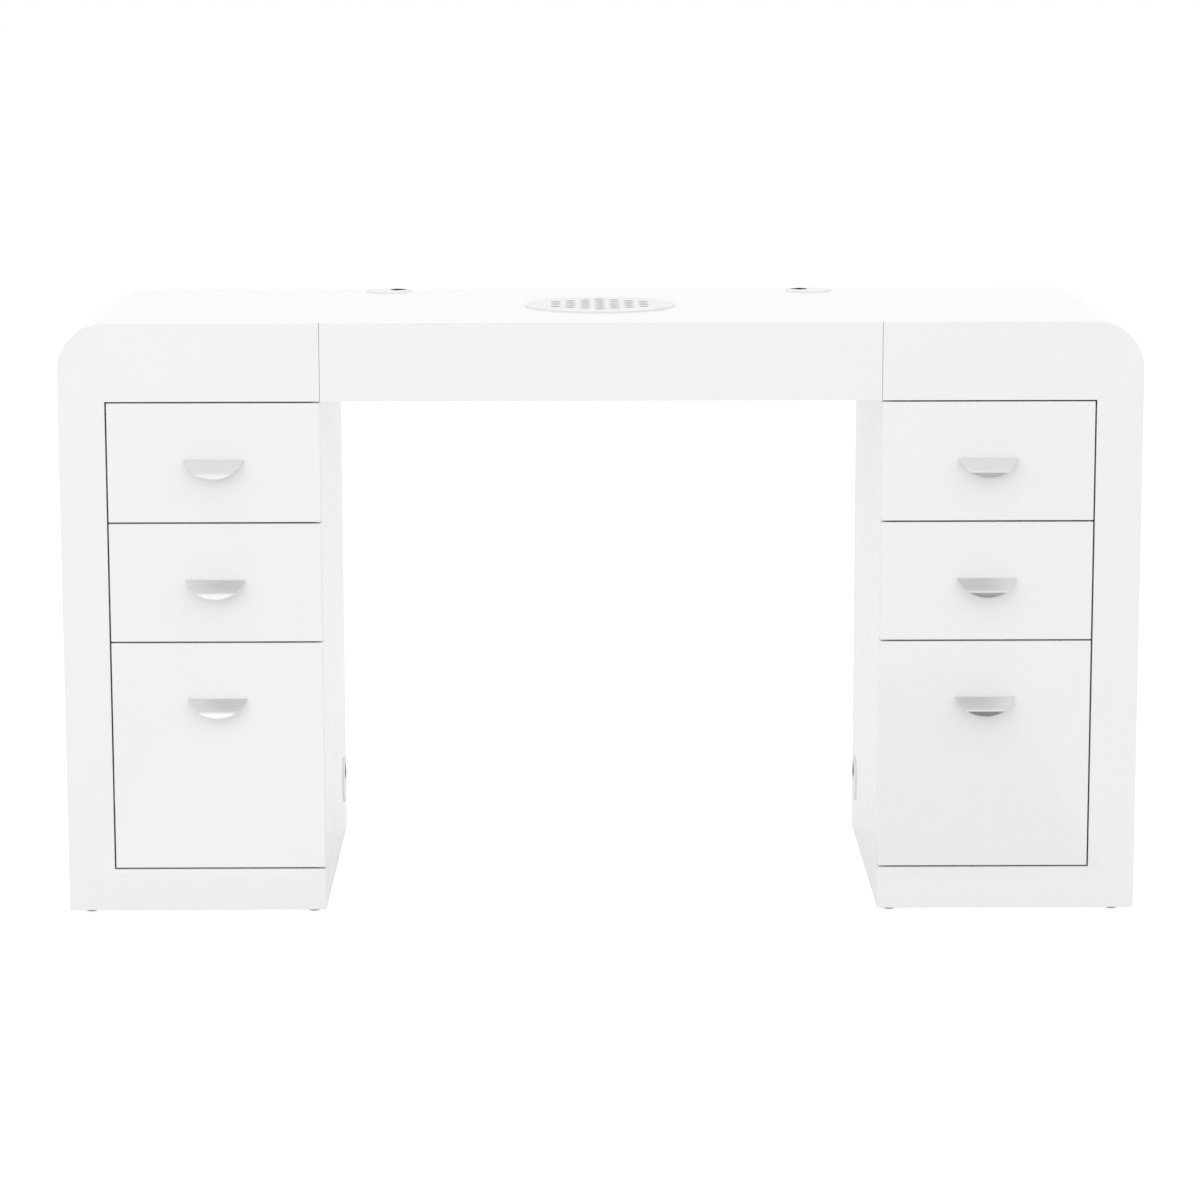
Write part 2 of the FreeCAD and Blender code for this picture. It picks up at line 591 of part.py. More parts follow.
def save_pedestals():
    for name, solid in (("shell", shell()), ("knee_panel", knee_panel())):
        save("right_" + name, [solid])
        save("left_" + name, [mirrored(solid)])
    save("base_panels", both_sides([base_panel()]))
    save("back_panels", both_sides([back_panel()]))
    save("bay_liners", both_sides(bay_liners()))
    save("feet", both_sides([foot(x, y) for x, y in foot_places()]))
    cabinet_slides = []
    for level, (bottom, top) in drawer_levels().items():
        cabinet_slides += save_drawer(level, bottom, top)
    save("cabinet_slides", both_sides(cabinet_slides))


def save_grommets():
    rings = [on_top(grommet_ring(BOARD - GROMMET_SLEEVE_STOP)),
             on_knee_panel(grommet_ring(PANEL - GROMMET_SLEEVE_STOP))]
    save("grommet_rings", both_sides(rings))
    caps = {"top": on_top(grommet_cap(TOP_NOTCH_ANGLE)),
            "knee": on_knee_panel(grommet_cap(-KNEE_NOTCH_ANGLE))}
    for place, cap in caps.items():
        save("right_" + place + "_grommet_cap", [cap])
        save("left_" + place + "_grommet_cap", [mirrored(cap)])


def save_bridge():
    save("bridge_top", [bridge_top()])
    save("bridge_aprons", bridge_aprons())
    save("bridge_underside", [bridge_underside()])
    save("bridge_end_panels", both_sides([bridge_end_panel()]))
    save("bridge_bolts", both_sides(bridge_bolts()))


def save_vent():
    save("vent_grille", [vent_grille()])
    save("dust_filter", [dust_filter()])
    save("fan_housing", [fan_housing()])
    save("fan_motor", [fan_motor()])
    save("fan_impeller", [fan_impeller()])


os.makedirs("parts", exist_ok=True)
save_pedestals()
save_grommets()
save_bridge()
save_vent()
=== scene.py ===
import math

import bmesh
import bpy
from mathutils import Matrix, Quaternion, Vector
from mathutils.geometry import tessellate_polygon


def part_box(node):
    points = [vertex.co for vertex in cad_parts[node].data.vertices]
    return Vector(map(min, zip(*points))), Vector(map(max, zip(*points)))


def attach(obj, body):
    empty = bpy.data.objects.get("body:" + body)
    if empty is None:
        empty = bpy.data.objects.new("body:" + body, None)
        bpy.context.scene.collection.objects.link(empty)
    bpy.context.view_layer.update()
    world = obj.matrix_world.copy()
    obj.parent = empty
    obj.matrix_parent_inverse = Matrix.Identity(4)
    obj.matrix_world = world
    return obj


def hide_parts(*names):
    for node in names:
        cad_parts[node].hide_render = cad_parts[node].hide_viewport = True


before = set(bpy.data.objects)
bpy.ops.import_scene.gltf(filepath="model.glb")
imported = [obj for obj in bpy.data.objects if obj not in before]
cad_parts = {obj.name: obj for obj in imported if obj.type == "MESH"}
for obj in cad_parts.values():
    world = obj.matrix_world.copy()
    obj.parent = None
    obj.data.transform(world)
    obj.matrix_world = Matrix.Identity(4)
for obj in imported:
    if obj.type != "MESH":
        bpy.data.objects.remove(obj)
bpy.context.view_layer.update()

# Manicure table, in metres. -Y is the side with the drawers; side is -1 for left and +1 for right.
SIDES = {"left": -1, "right": 1}
LEVELS = ("upper", "middle", "lower")
TABLE = "table"

# Sizes shared with the CAD source
BOARD = 0.018
PANEL = 0.012
GAP = 0.002
CORNER_RADIUS = 0.062
GROOVE_WIDTH = 0.0005
GROOVE_DEPTH = 0.010
RAIL_HEIGHT = 0.101
VENT_HOLE_RADIUS = 0.095
SLEEVE_RADIUS = 0.030
CABLE_HOLE_RADIUS = 0.0302

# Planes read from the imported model, for the right-hand pedestal
SEAM_X, FRONT_Y, BODY_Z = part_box("right_shell")[0]
OUTER_X, BACK_Y, TOP_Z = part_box("right_shell")[1]
FRONT_X1, FRAME_Y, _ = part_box("right_upper_drawer_front")[1]
PLINTH_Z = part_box("right_lower_drawer_front")[0].z - GAP
PANEL_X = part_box("right_knee_panel")[1].x
STILE_X = FRONT_X1 + GAP
SKIN_X = OUTER_X - BOARD
SKIN_Z = TOP_Z - BOARD
RAIL_Z = TOP_Z - RAIL_HEIGHT

WELD = 1e-6                       # corners closer than this are one corner
FLAT = math.radians(0.1)          # faces that turn less than this are one face
CREASE = math.radians(35)         # edges that turn more than this are rounded or stay sharp


# ---------------------------------------------------------------- outlines

def arc(u, v, radius, start, end, steps):
    """Points of an arc about (u, v), from start to end degrees, both included."""
    angles = [math.radians(start + (end - start) * index / steps) for index in range(steps + 1)]
    return [(u + radius * math.cos(angle), v + radius * math.sin(angle)) for angle in angles]


def circle(u, v, radius, steps=64):
    return arc(u, v, radius, 0, 360, steps)[:-1]


def rectangle(u0, v0, u1, v1):
    return [(u0, v0), (u1, v0), (u1, v1), (u0, v1)]


def quarter(radius, height, reach, rise, steps=6):
    """A quarter round in section, from (radius, height) inwards by reach and up by rise."""
    angles = [math.pi / 2 * index / steps for index in range(steps + 1)]
    return [(radius - reach * (1 - math.cos(angle)), height + rise * math.sin(angle)) for angle in angles]


def lift(loop, axis, depth, side=1):
    """Stands a flat outline in space, at depth along axis, mirrored in X for the left side."""
    places = {
        "x": lambda u, v: (side * depth, u, v),
        "y": lambda u, v: (side * u, depth, v),
        "z": lambda u, v: (side * u, v, depth),
    }
    return [Vector(places[axis](u, v)) for u, v in loop]


# ---------------------------------------------------------------- solids

class Solid:
    """Collects the faces of closed pieces. Corners at one place are shared until part() is called."""

    def __init__(self):
        self.bm = bmesh.new()
        self.corners = {}

    def part(self):
        self.corners = {}
        return self

    def corner(self, point):
        key = tuple(round(value / WELD) for value in point)
        if key not in self.corners:
            self.corners[key] = self.bm.verts.new(point)
        return self.corners[key]

    def face(self, points):
        corners = []
        for point in points:
            corner = self.corner(point)
            if corner not in corners:
                corners.append(corner)
        if len(corners) > 2 and self.bm.faces.get(corners) is None:
            self.bm.faces.new(corners)

    def flat(self, *loops):
        """A flat face: the first loop is its outline and the others are holes."""
        points = [point for loop in loops for point in loop]
        for triple in tessellate_polygon(loops):
            self.face([points[index] for index in triple])

    def wall(self, start, end, closed=True):
        """Quads between two paths with equally many points."""
        count = len(start)
        for index in range(count if closed else count - 1):
            after = (index + 1) % count
            self.face([start[index], start[after], end[after], end[index]])

    def plate(self, axis, low, high, outline, *holes, side=1):
        """An outline with holes, drawn out along axis from low to high."""
        self.part()
        loops = (outline, *holes)
        ends = [[lift(loop, axis, depth, side) for loop in loops] for depth in (low, high)]
        for end in ends:
            self.flat(*end)
        for start, end in zip(*ends):
            self.wall(start, end)
        return self

    def block(self, low, high):
        return self.plate("z", low[2], high[2], rectangle(low[0], low[1], high[0], high[1]))

    def turned(self, profile, steps=64, place=Vector()):
        """A closed profile of (radius, height) points, turned about an upright axis through place."""
        self.part()
        rings = [[place + point for point in lift(circle(0, 0, radius, steps), "z", height)]
                 for radius, height in profile]
        for index, ring in enumerate(rings):
            following = rings[(index + 1) % len(rings)]
            if profile[index][0] > 0 or profile[(index + 1) % len(rings)][0] > 0:
                self.wall(ring, following)
        return self

    def piece(self, name, finish, body, nodes, edge=0.0, merge=True, place=None):
        """Makes the object. edge is the radius that sharp edges are rounded to."""
        bm = self.bm
        if merge:
            bmesh.ops.dissolve_limit(bm, angle_limit=FLAT, verts=bm.verts, edges=bm.edges)
        if place is not None:
            bm.transform(place)
        bmesh.ops.recalc_face_normals(bm, faces=bm.faces)
        if bm.calc_volume(signed=True) < 0:
            bmesh.ops.reverse_faces(bm, faces=bm.faces)
        mesh = bpy.data.meshes.new(name)
        bm.to_mesh(mesh)
        bm.free()
        made = bpy.data.objects.new(name, mesh)
        bpy.context.scene.collection.objects.link(made)
        mesh.materials.append(FINISHES[finish])
        mesh.shade_smooth()
        if edge > 0:
            soften(made, edge)
        else:
            mesh.set_sharp_from_angle(angle=CREASE)
        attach(made, body)
        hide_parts(*nodes)
        return made


def soften(made, edge, segments=3):
    """Rounds the sharp edges of a piece, and keeps its flat faces flat."""
    bevel = made.modifiers.new("edges", "BEVEL")
    bevel.width = edge
    bevel.segments = segments
    bevel.limit_method = "ANGLE"
    bevel.angle_limit = CREASE
    bevel.loop_slide = False
    normals = made.modifiers.new("normals", "WEIGHTED_NORMAL")
    normals.mode = "FACE_AREA"
    normals.weight = 100
    normals.keep_sharp = False


# ---------------------------------------------------------------- materials

class Nodes:
    """A material's node tree, with short calls for the parts used here."""

    def __init__(self, name, metallic, ior=1.5):
        self.material = bpy.data.materials.new(name)
        self.material.use_nodes = True
        self.tree = self.material.node_tree
        self.shader = self.tree.nodes["Principled BSDF"]
        self.shader.inputs["Metallic"].default_value = metallic
        self.shader.inputs["IOR"].default_value = ior

    def add(self, kind, inputs=(), **settings):
        node = self.tree.nodes.new(kind)
        for key, value in settings.items():
            setattr(node, key, value)
        for socket, value in dict(inputs).items():
            if isinstance(value, bpy.types.NodeSocket):
                self.tree.links.new(value, node.inputs[socket])
            else:
                node.inputs[socket].default_value = value
        return node

    def noise(self, scale, detail=2.0, stretch=(1, 1, 1)):
        """Noise in the object's own coordinates, about scale features to the metre."""
        place = self.add("ShaderNodeTexCoord").outputs["Object"]
        place = self.add("ShaderNodeMapping", {"Vector": place, "Scale": stretch}).outputs[0]
        inputs = {"Vector": place, "Scale": scale, "Detail": detail}
        return self.add("ShaderNodeTexNoise", inputs).outputs["Fac"]

    def cells(self, scale, feature="F1"):
        """Cells about as large as 1 / scale metres: a tone each, or the distance to their borders."""
        place = self.add("ShaderNodeTexCoord").outputs["Object"]
        node = self.add("ShaderNodeTexVoronoi", {"Vector": place, "Scale": scale}, feature=feature)
        return node.outputs["Distance" if feature != "F1" else "Color"]

    def between(self, value, low, high, start=0.3, end=0.7):
        node = self.add("ShaderNodeMapRange", {"Value": value, "From Min": start, "From Max": end,
                                               "To Min": low, "To Max": high})
        return node.outputs["Result"]

    def colours(self, value, dark, light, start=0.3, end=0.7):
        ramp = self.add("ShaderNodeValToRGB", {"Fac": value})
        for element, place, colour in zip(ramp.color_ramp.elements, (start, end), (dark, light)):
            element.position = place
            element.color = (*colour, 1)
        return ramp.outputs["Color"]

    def link(self, value, socket):
        self.tree.links.new(value, self.shader.inputs[socket])

    def bump(self, height, distance, after=None):
        inputs = {"Height": height, "Distance": distance, "Strength": 1.0}
        if after is not None:
            inputs["Normal"] = after
        return self.add("ShaderNodeBump", inputs).outputs["Normal"]


def grey(value, warmth=0.0):
    return (value + warmth, value, value - warmth)


def lacquer():
    """High-gloss white: a trace of orange peel, and slow waves where the board shows through."""
    nodes = Nodes("white_lacquer", metallic=0.0)
    nodes.link(nodes.colours(nodes.noise(9.0, 3.0), grey(0.853), grey(0.861)), "Base Color")
    nodes.link(nodes.between(nodes.noise(45.0, 4.0), 0.07, 0.12), "Roughness")
    waves = nodes.bump(nodes.noise(6.0, 1.0), 0.00015)
    nodes.link(nodes.bump(nodes.noise(260.0, 2.0), 0.000006, waves), "Normal")
    return nodes.material


def melamine():
    """Matt white board with the fine pearl grain of melamine paper."""
    nodes = Nodes("white_board", metallic=0.0)
    nodes.link(nodes.colours(nodes.noise(420.0, 4.0), grey(0.79, 0.004), grey(0.82, 0.004)), "Base Color")
    nodes.link(nodes.between(nodes.noise(700.0), 0.38, 0.52), "Roughness")
    nodes.link(nodes.bump(nodes.noise(900.0, 3.0), 0.00004), "Normal")
    return nodes.material


def zinc():
    """Bright zinc plate: faint spangle and drawing lines along the slides."""
    nodes = Nodes("zinc_steel", metallic=1.0)
    nodes.link(nodes.colours(nodes.cells(260.0), grey(0.56), grey(0.63), 0.1, 0.9), "Base Color")
    nodes.link(nodes.between(nodes.noise(90.0, 5.0), 0.24, 0.42), "Roughness")
    nodes.link(nodes.bump(nodes.noise(600.0, 3.0, (1, 0.03, 1)), 0.00002), "Normal")
    return nodes.material


def aluminium():
    """Satin anodised aluminium, brushed along X."""
    nodes = Nodes("pull_aluminium", metallic=1.0)
    strokes = nodes.noise(2600.0, 4.0, (0.012, 1, 1))
    nodes.link(nodes.colours(strokes, grey(0.74, 0.001), grey(0.84, 0.001)), "Base Color")
    nodes.link(nodes.between(strokes, 0.27, 0.38), "Roughness")
    nodes.link(nodes.bump(strokes, 0.000008), "Normal")
    return nodes.material


def plastic(name, dark, light, rough, grain=1100.0, depth=0.00002, warmth=0.0):
    """Moulded plastic with a spark-eroded grain."""
    nodes = Nodes(name, metallic=0.0, ior=1.46)
    nodes.link(nodes.colours(nodes.noise(35.0, 3.0), grey(dark, warmth), grey(light, warmth)), "Base Color")
    nodes.link(nodes.between(nodes.noise(180.0, 3.0), rough, rough + 0.12), "Roughness")
    nodes.link(nodes.bump(nodes.noise(grain, 3.0), depth), "Normal")
    return nodes.material


def foam():
    """Open-cell filter foam: grey struts, and painted shade that darkens the middles of the open cells."""
    nodes = Nodes("filter_foam", metallic=0.0)
    struts = nodes.cells(620.0, "DISTANCE_TO_EDGE")
    # painted shade: away from the struts, the middles of the cells are painted far darker than the struts
    # themselves
    nodes.link(nodes.colours(struts, grey(0.20), grey(0.035), 0.02, 0.30), "Base Color")
    nodes.link(nodes.between(nodes.noise(200.0), 0.80, 0.95), "Roughness")
    nodes.link(nodes.bump(struts, -0.0006), "Normal")
    return nodes.material


FINISHES = {
    "white_lacquer": lacquer(),
    "white_board": melamine(),
    "zinc_steel": zinc(),
    "pull_aluminium": aluminium(),
    "grommet_plastic": plastic("grommet_plastic", 0.82, 0.84, 0.28),
    "grille_plastic": plastic("grille_plastic", 0.80, 0.83, 0.30),
    # black plastic of the fan, also given to the insides of the grommets as painted shade
    "fan_plastic": plastic("fan_plastic", 0.018, 0.026, 0.42),
    "filter_foam": foam(),
    "foot_plastic": plastic("foot_plastic", 0.23, 0.27, 0.45),
}


KEPT_EDGE = 0.0004
STEEL_EDGE = 0.0003


def keep(node, finish, edge=KEPT_EDGE):
    """A CAD node that stays, with its finish and rounded edges."""
    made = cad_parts[node]
    made.data.materials.clear()
    made.data.materials.append(FINISHES[finish])
    made.data.shade_smooth()
    weld = made.modifiers.new("weld", "WELD")
    weld.merge_threshold = WELD
    soften(made, edge, segments=2)


# ---------------------------------------------------------------- pedestals

LACQUER_EDGE = 0.0008
BOARD_EDGE = 0.0005
BEND_STEPS = 36


def bend(x1, z1, radius):
    """The rounded upper outer corner, from the side up to the top."""
    return arc(x1 - radius, z1 - radius, radius, 0, 90, BEND_STEPS)


def shell(name, side):
    """Outer side and top in one bend, with the front frame round the drawers, all one surface."""
    outside = [(OUTER_X, BODY_Z)] + bend(OUTER_X, TOP_Z, CORNER_RADIUS) + [(SEAM_X, TOP_Z)]
    inside = [(SKIN_X, BODY_Z)] + bend(SKIN_X, SKIN_Z, CORNER_RADIUS - BOARD) + [(SEAM_X, SKIN_Z)]
    opening = [(SEAM_X, RAIL_Z), (STILE_X, RAIL_Z), (STILE_X, PLINTH_Z), (SEAM_X, PLINTH_Z)]
    corner = [(SEAM_X, BODY_Z)]
    solid = Solid()
    solid.flat(lift(corner + outside + opening, "y", FRONT_Y, side))
    solid.flat(lift(corner + inside + opening, "y", FRAME_Y, side))
    solid.flat(lift(outside + inside[::-1], "y", BACK_Y, side))
    for path, start, end in ((outside, FRONT_Y, BACK_Y), (inside, FRAME_Y, BACK_Y),
                             (opening + corner, FRONT_Y, FRAME_Y)):
        solid.wall(lift(path, "y", start, side), lift(path, "y", end, side), closed=False)
    foot_face = [(SEAM_X, FRONT_Y), (OUTER_X, FRONT_Y), (OUTER_X, BACK_Y), (SKIN_X, BACK_Y),
                 (SKIN_X, FRAME_Y), (SEAM_X, FRAME_Y)]
    seam_face = [(FRONT_Y, RAIL_Z), (FRONT_Y, TOP_Z), (BACK_Y, TOP_Z), (BACK_Y, SKIN_Z),
                 (FRAME_Y, SKIN_Z), (FRAME_Y, RAIL_Z)]
    solid.flat(lift(foot_face, "z", BODY_Z, side))
    solid.flat(lift(seam_face, "x", SEAM_X, side))
    solid.piece(name + "_shell_finished", "white_lacquer", TABLE, [name + "_shell"], LACQUER_EDGE)


def knee_panel(name, side):
    """Side of the knee space, notched behind the edges of the drawer fronts."""
    node = name + "_knee_panel"
    ring_low, ring_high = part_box(name + "_knee_grommet_cap")
    centre = (ring_low + ring_high) / 2
    notch_y = FRAME_Y + GAP
    outline = [(FRAME_Y, BODY_Z), (BACK_Y, BODY_Z), (BACK_Y, SKIN_Z), (FRAME_Y, SKIN_Z),
               (FRAME_Y, RAIL_Z), (notch_y, RAIL_Z), (notch_y, PLINTH_Z), (FRAME_Y, PLINTH_Z)]
    hole = circle(centre.y, centre.z, CABLE_HOLE_RADIUS)
    solid = Solid().plate("x", SEAM_X, PANEL_X, outline, hole, side=side)
    solid.piece(node + "_finished", "white_lacquer", TABLE, [node], BOARD_EDGE)


def bay_liners():
    """A side liner and a ceiling in each drawer bay."""
    low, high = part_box("bay_liners")
    solid = Solid()
    for side in SIDES.values():
        for x0, x1, bottom in ((STILE_X, STILE_X + PANEL, low.z), (PANEL_X, STILE_X, RAIL_Z)):
            left, right = sorted((side * x0, side * x1))
            solid.block((left, low.y, bottom), (right, high.y, high.z))
    solid.piece("bay_liners_finished", "white_board", TABLE, ["bay_liners"], BOARD_EDGE)


# ---------------------------------------------------------------- bridge

def bridge():
    """Top and both aprons as one lacquered body, with the vent's hole and two cable holes.

    The grooves beside the pedestals taper to nothing, which leaves room for the rounding of the edges.
    """
    groove_x, groove_y = SEAM_X - GROOVE_WIDTH, FRONT_Y + GROOVE_DEPTH
    section = [(groove_y, TOP_Z), (groove_y, RAIL_Z), (FRAME_Y, RAIL_Z), (FRAME_Y, SKIN_Z),
               (BACK_Y - BOARD, SKIN_Z), (BACK_Y - BOARD, RAIL_Z), (BACK_Y, RAIL_Z), (BACK_Y, TOP_Z)]
    grooved_edge = [(-SEAM_X, groove_y), (-groove_x, FRONT_Y), (groove_x, FRONT_Y), (SEAM_X, groove_y)]
    caps = [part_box(name + "_top_grommet_cap") for name in SIDES]
    places = [(low + high) / 2 for low, high in caps]
    holes = [circle(place.x, place.y, CABLE_HOLE_RADIUS) for place in places]
    holes.append(circle(0, 0, VENT_HOLE_RADIUS, 128))
    top = grooved_edge + [(SEAM_X, BACK_Y), (-SEAM_X, BACK_Y)]
    front_foot = grooved_edge + [(SEAM_X, FRAME_Y), (-SEAM_X, FRAME_Y)]
    below = rectangle(-SEAM_X, FRAME_Y, SEAM_X, BACK_Y - BOARD)
    solid = Solid()
    ends = [lift(section, "x", x) for x in (-SEAM_X, SEAM_X)]
    for end in ends:
        solid.flat(end)
    for path in ([2, 3], [4, 5, 6, 7]):
        solid.wall([ends[0][index] for index in path], [ends[1][index] for index in path], closed=False)
    solid.wall(lift(grooved_edge, "z", TOP_Z), lift(grooved_edge, "z", RAIL_Z), closed=False)
    solid.flat(lift(front_foot, "z", RAIL_Z))
    for outline, z in ((top, TOP_Z), (below, SKIN_Z)):
        solid.flat(*[lift(loop, "z", z) for loop in [outline] + holes])
    for hole in holes:
        solid.wall(lift(hole, "z", TOP_Z), lift(hole, "z", SKIN_Z))
    nodes = ["bridge_top", "bridge_aprons"]
    solid.piece("bridge_body_finished", "white_lacquer", TABLE, nodes, LACQUER_EDGE)


# ---------------------------------------------------------------- drawers

FRONT_EDGE = 0.0010
FLOOR_LIFT = 0.006
FLOOR_THICKNESS = 0.004


def drawer_front(body):
    node = body + "_front"
    solid = Solid().block(*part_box(node))
    solid.piece(node + "_finished", "white_lacquer", body, [node], FRONT_EDGE)


def drawer_box(body):
    """Two sides, inner front, back and floor."""
    low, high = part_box(body + "_box")
    x0, x1, y0, y1 = low.x + PANEL, high.x - PANEL, low.y + PANEL, high.y - PANEL
    floor_z = low.z + FLOOR_LIFT
    boards = [
        (low, (x0, high.y, high.z)),
        ((x1, low.y, low.z), high),
        ((x0, low.y, low.z), (x1, y0, high.z)),
        ((x0, y1, low.z), (x1, high.y, high.z)),
        ((x0, y0, floor_z), (x1, y1, floor_z + FLOOR_THICKNESS)),
    ]
    solid = Solid()
    for board in boards:
        solid.block(*board)
    solid.piece(body + "_box_finished", "white_board", body, [body + "_box"], BOARD_EDGE)


# ---------------------------------------------------------------- pulls

PULL_WALL = 0.0022
PULL_LEDGE = 0.002
PULL_SLOPE_RUN = 0.017
PULL_SLOPE = math.atan2(0.0135, PULL_SLOPE_RUN)
PULL_LIP_LEAN = 10                # degrees that the lip leans back towards the drawer
PULL_TIP = 0.00005                # the lip stops this far above the lowest point of its round edge
PULL_EDGE = 0.0003
PULL_HEEL_STEP = 0.1               # where the inner face leaves its heel, as a share of the slope
PULL_COLUMNS = 40
PULL_SLOPE_STEPS = 8
PULL_BEND_STEPS = 10
PULL_LIP_STEPS = 10
BOSS_RADIUS = 0.0035
BOSS_DROP = 0.008
BOSS_SPACING = 0.048


def pull_profile(depth, fall):
    """Pairs of (distance out from the drawer, height below the top): the strip's outer and inner face."""
    bend = Vector((PULL_LEDGE + PULL_SLOPE_RUN, -PULL_SLOPE_RUN * math.tan(PULL_SLOPE)))
    radius = (depth - bend.x) / (1 - math.sin(PULL_SLOPE))
    centre = bend - radius * Vector((math.sin(PULL_SLOPE), math.cos(PULL_SLOPE)))
    start = 90 - math.degrees(PULL_SLOPE)

    def face(reach, heel):
        """The sloping top from its heel, the bend, and the straight lip down to its tip."""
        corner = arc(centre.x, centre.y, reach, start, -PULL_LIP_LEAN, PULL_BEND_STEPS)
        first, *_, last = corner = [Vector(point) for point in corner]
        slope = [heel.lerp(first, index / PULL_SLOPE_STEPS) for index in range(PULL_SLOPE_STEPS)]
        tip = last - (last.y + fall - PULL_TIP) * Vector((math.tan(math.radians(PULL_LIP_LEAN)), 1))
        shares = [1 - (1 - index / PULL_LIP_STEPS) ** 2 for index in range(1, PULL_LIP_STEPS + 1)]
        return slope + corner + [last.lerp(tip, share) for share in shares]

    inner_start = arc(centre.x, centre.y, radius - PULL_WALL, start, start, 1)[0]
    inner_heel = Vector((0.0, inner_start[1] + inner_start[0] * math.tan(PULL_SLOPE)))
    outer = [Vector((0.0, 0.0))] + face(radius, Vector((PULL_LEDGE, 0.0)))
    inner = [inner_heel] + face(radius - PULL_WALL, inner_heel.lerp(Vector(inner_start), PULL_HEEL_STEP))
    return list(zip(outer, inner))


def pull(body):
    """Half-moon pull: a bent strip trimmed to a circle segment, with two bosses behind it."""
    node = body + "_pull"
    low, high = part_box(node)
    middle_x, length, fall = (low.x + high.x) / 2, high.x - low.x, high.z - low.z
    moon = (length ** 2 / 4 + fall ** 2) / (2 * fall)

    def place(point, across):
        return Vector((middle_x + across, high.y - point.x, high.z + point.y))

    def row(point, inset, steps):
        """Points from the left to the right edge of the strip, at one point of its profile."""
        half = max(0.0, math.sqrt(max(0.0, moon ** 2 - (moon - fall - point.y) ** 2)) - inset)
        return [place(point, half * (2 * index / steps - 1)) for index in range(steps + 1)]

    def section(outer, inner):
        """One closed loop round the strip, with a small flat on each of its four edges."""
        step = (inner - outer).normalized() * PULL_EDGE
        over, under = row(outer, PULL_EDGE, PULL_COLUMNS), row(inner, PULL_EDGE, PULL_COLUMNS)
        upper, lower = row(outer + step, 0.0, 1), row(inner - step, 0.0, 1)
        return over + [upper[1], lower[1]] + under[::-1] + [lower[0], upper[0]]

    def cap(loop):
        last = 2 * PULL_COLUMNS + 3
        for index in range(PULL_COLUMNS):
            solid.face([loop[index], loop[index + 1], loop[last - 1 - index], loop[last - index]])
        solid.face(loop[PULL_COLUMNS:PULL_COLUMNS + 4])
        solid.face([loop[0], loop[last], loop[last + 1], loop[last + 2]])

    solid = Solid()
    profile = pull_profile(high.y - low.y, fall)
    loops = [section(outer, inner) for outer, inner in profile]
    for start, end in zip(loops, loops[1:]):
        solid.wall(start, end)
    cap(loops[0])
    cap(loops[-1])
    heel = profile[0][1].y
    for centre_x in (-BOSS_SPACING / 2, BOSS_SPACING / 2):
        outline = circle(centre_x, -BOSS_DROP, BOSS_RADIUS, 24)
        reaches = [(heel - v) / math.tan(PULL_SLOPE) + PULL_WALL / 2 for _, v in outline]
        rings = [[place(Vector((reach * share, v)), u) for (u, v), reach in zip(outline, reaches)]
                 for share in (0, 1)]
        solid.part().wall(*rings)
        for ring in rings:
            solid.flat(ring)
    solid.piece(node + "_finished", "pull_aluminium", body, [node], merge=False)


# ---------------------------------------------------------------- cable grommets

FLANGE_RADIUS = 0.032
FLANGE_HEIGHT = 0.0015
FLANGE_DOME = 0.0012
FLANGE_LIP = 0.0006
BORE_RADIUS = 0.0278
SHELF_RADIUS = 0.0255
SLEEVE_SHORT = 0.002              # the sleeve ends this far before the far side of its board
SHELF_TOP = -0.0015
SHELF_BOTTOM = -0.0030
CAP_RADIUS = 0.0276
CAP_BASE = -0.0014
CAP_THICKNESS = 0.0028
CAP_EDGE = 0.0004
NOTCH_RADIUS = 0.0105
NOTCH_OFFSET = 0.015
TOP_NOTCH = 140
KNEE_NOTCH = -35


def ring_profile(depth):
    """Section of a grommet's sleeve and its domed flange."""
    crown = quarter(FLANGE_RADIUS, FLANGE_HEIGHT - FLANGE_DOME, FLANGE_DOME, FLANGE_DOME)
    lip = quarter(BORE_RADIUS, FLANGE_HEIGHT - FLANGE_LIP, -FLANGE_LIP, FLANGE_LIP, 4)
    return [(FLANGE_RADIUS, 0.0), *crown, *lip[::-1], (BORE_RADIUS, SHELF_TOP), (SHELF_RADIUS, SHELF_TOP),
            (SHELF_RADIUS, SHELF_BOTTOM), (BORE_RADIUS, SHELF_BOTTOM), (BORE_RADIUS, -depth),
            (SLEEVE_RADIUS, -depth), (SLEEVE_RADIUS, 0.0)]


def cap_outline(angle):
    """A disc with a U notch that runs out of its rim at angle degrees."""
    edge = math.degrees(math.asin(NOTCH_RADIUS / CAP_RADIUS))
    points = arc(0, 0, CAP_RADIUS, edge, 360 - edge, 72)
    points += arc(NOTCH_OFFSET, 0, NOTCH_RADIUS, 270, 90, 20)
    turn = Matrix.Rotation(math.radians(angle), 2)
    return [tuple(turn @ Vector(point)) for point in points]


def paint_opening_shade(made, stand, chosen):
    """Paints shade into the cable opening: the faces that chosen(radius, height) picks get the black
    plastic, as painted shade where the inside lies in shadow.
    """
    made.data.materials.append(FINISHES["fan_plastic"])
    unplace = stand.inverted()
    for face in made.data.polygons:
        place = unplace @ face.center
        if chosen(place.xy.length, place.z):
            face.material_index = 1


def in_bore(radius, height):
    """The ring's inside, from the rounded lip of its flange inwards, which gets painted shade."""
    return radius < (BORE_RADIUS + SLEEVE_RADIUS) / 2 and height < FLANGE_HEIGHT - FLANGE_LIP


def in_notch(radius, height):
    """The sides of the cap's notch: upright faces that aren't on its rim, which get painted shade."""
    return radius < (CAP_RADIUS + SHELF_RADIUS) / 2 and abs(height - CAP_BASE - CAP_THICKNESS / 2) < WELD


